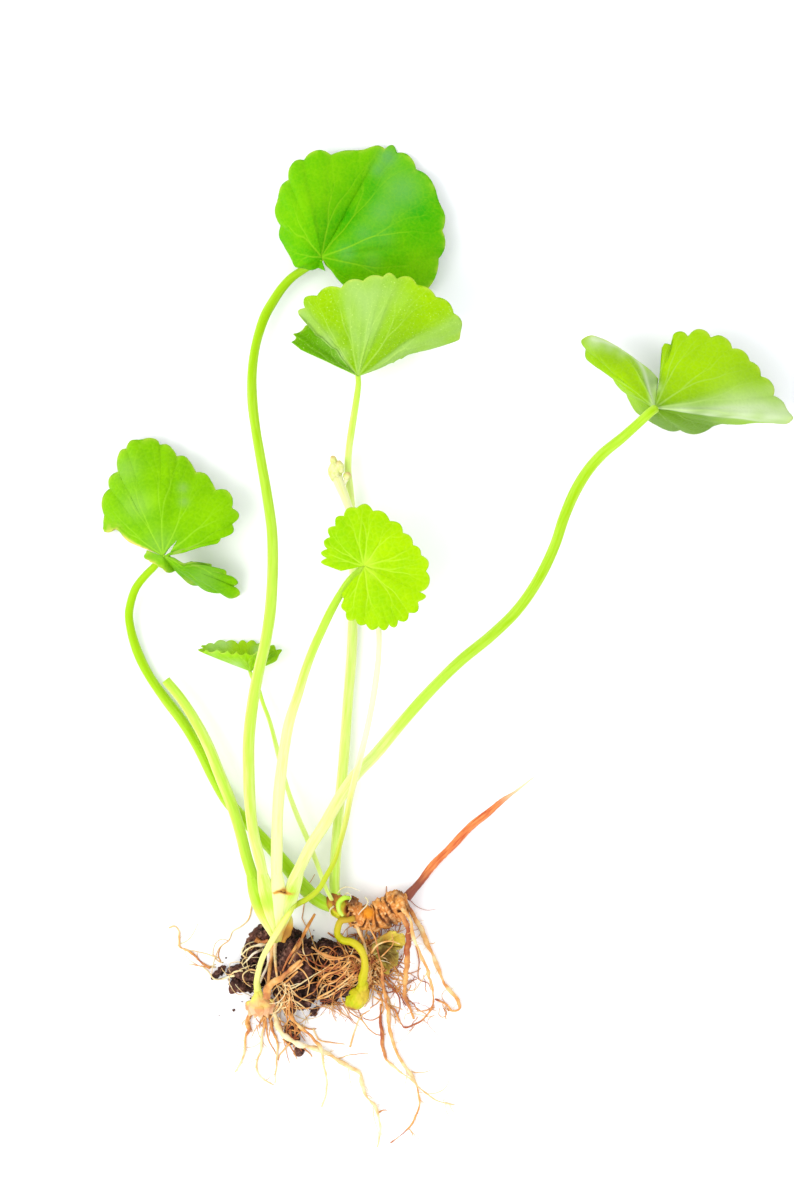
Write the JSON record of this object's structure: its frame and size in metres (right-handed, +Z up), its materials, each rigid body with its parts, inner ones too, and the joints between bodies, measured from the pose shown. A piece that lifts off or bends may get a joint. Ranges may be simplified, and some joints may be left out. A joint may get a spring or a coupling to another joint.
{
  "type": "asiatic pennywort plant",
  "caption": "Whole uprooted pennywort lying flat: fan-shaped toothed leaves on long curved stalks, a knobbly rhizome, fine roots and clods of soil.",
  "frame": {"origin": "on the surface that the plant lies on, under the middle of its box", "axes": "+Y from the roots to the top leaf, +X to the right as seen from above with the roots nearest, +Z up from the surface"},
  "size_m": [0.137, 0.2002, 0.026],
  "materials": {
    "leaf": "fresh green blade, softly glossy",
    "leaf_underside": "pale green underside, dull",
    "petiole": "smooth juicy yellow-green stalk",
    "crown": "smooth, nearly white-green",
    "sheath": "dry brown sheath",
    "rhizome": "ridged orange-brown bark",
    "runner": "reddish brown, smooth",
    "withered_leaf": "olive-yellow, crumpled",
    "flower_stalk": "pale thin stalk",
    "bud": "cream to pink",
    "fruit": "yellow-green, dull",
    "soil": "dark crumbly earth",
    "dry_stick": "dry brown twig",
    "root": "orange to cream, matte"
  },
  "bodies": {
    "root": {"leaf_top": "leaf", "leaf_cupped": "leaf_underside", "leaf_right": "leaf_underside", "leaf_left": "leaf", "leaf_middle": "leaf", "leaf_small": "leaf", "petiole_top": "petiole", "petiole_cupped": "petiole", "petiole_right": "petiole", "petiole_left": "petiole", "petiole_middle": "petiole", "petiole_small": "petiole", "petiole_broken": "petiole", "main_crown": "crown", "side_crown": "sheath", "rhizome": "rhizome", "old_runner": "runner", "withered_leaf": "withered_leaf", "bud_stalk": "flower_stalk", "bud_left": "bud", "bud_middle": "bud", "bud_right": "bud", "bloom_stalk": "flower_stalk", "bloom": "bud", "fruit_stalk": "fruit", "fruit": "fruit", "young_shoot": "petiole", "soil_main": "soil", "soil_mat": "soil", "soil_left": "soil", "soil_top": "soil", "soil_tail": "soil", "soil_crumb_1": "soil", "soil_crumb_2": "soil", "soil_crumb_3": "soil", "dry_stick": "dry_stick", "root_far_left": "root", "root_left_1": "root", "root_left_2": "root", "root_left_3": "root", "root_left_4": "root", "root_left_5": "root", "root_right_1": "root", "root_right_2": "root", "root_right_3": "root", "root_right_4": "root", "root_right_5": "root", "root_thick": "root", "root_white": "root", "root_mat_1": "root", "root_mat_2": "root", "root_mat_3": "root"}
  },
  "joints": []
}
